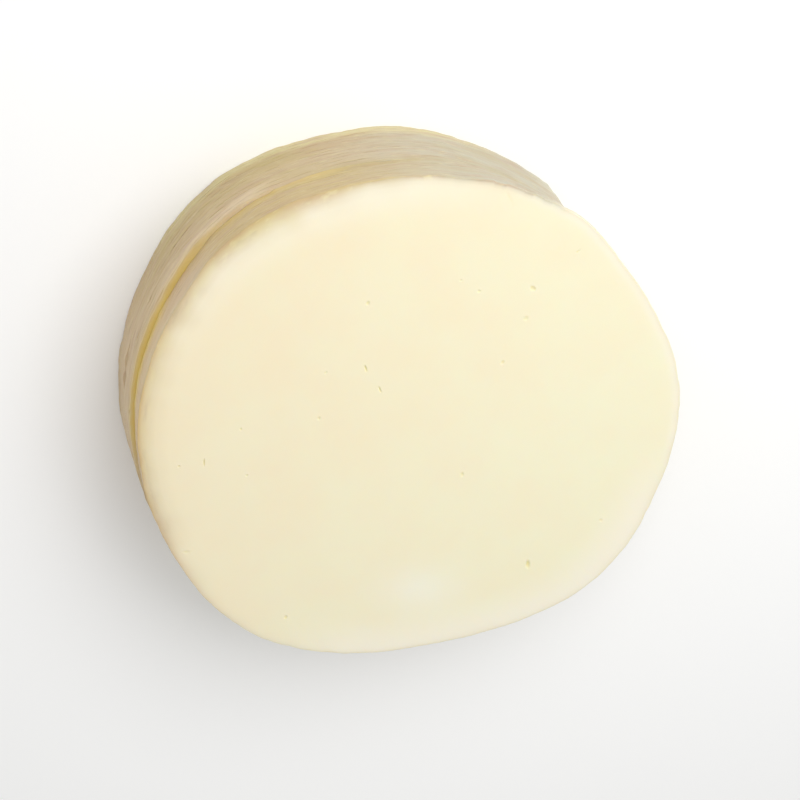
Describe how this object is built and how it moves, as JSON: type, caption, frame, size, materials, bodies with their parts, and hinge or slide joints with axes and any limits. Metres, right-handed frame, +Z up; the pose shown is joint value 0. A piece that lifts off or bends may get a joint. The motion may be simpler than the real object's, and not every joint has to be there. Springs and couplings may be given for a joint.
{
  "type": "sliced provolone cheese",
  "caption": "Stack of thin round provolone slices, slipped slightly out of line, with smooth cream faces and a tan edge of fine slice lines. It lies flat on its lowest slice.",
  "frame": {"origin": "bottom centre of the box round the stack, on the surface it lies on", "axes": "+Z up through the slices, from the lowest to the face that shows; -Y towards the side of the edge that the picture shows"},
  "size_m": [0.1222, 0.1198, 0.0319],
  "materials": {
    "provolone": "fresh cut cheese: cream, opaque with a little light let in, soft satin shine"
  },
  "bodies": {
    "root": {"slice_01": "provolone", "slice_02": "provolone", "slice_03": "provolone", "slice_04": "provolone", "slice_05": "provolone", "slice_06": "provolone", "slice_07": "provolone", "slice_08": "provolone", "slice_09": "provolone", "slice_10": "provolone", "slice_11": "provolone", "slice_12": "provolone", "slice_13": "provolone", "slice_14": "provolone", "slice_15": "provolone", "slice_16": "provolone", "slice_17": "provolone", "slice_18": "provolone", "slice_19": "provolone", "slice_20": "provolone"}
  },
  "joints": []
}
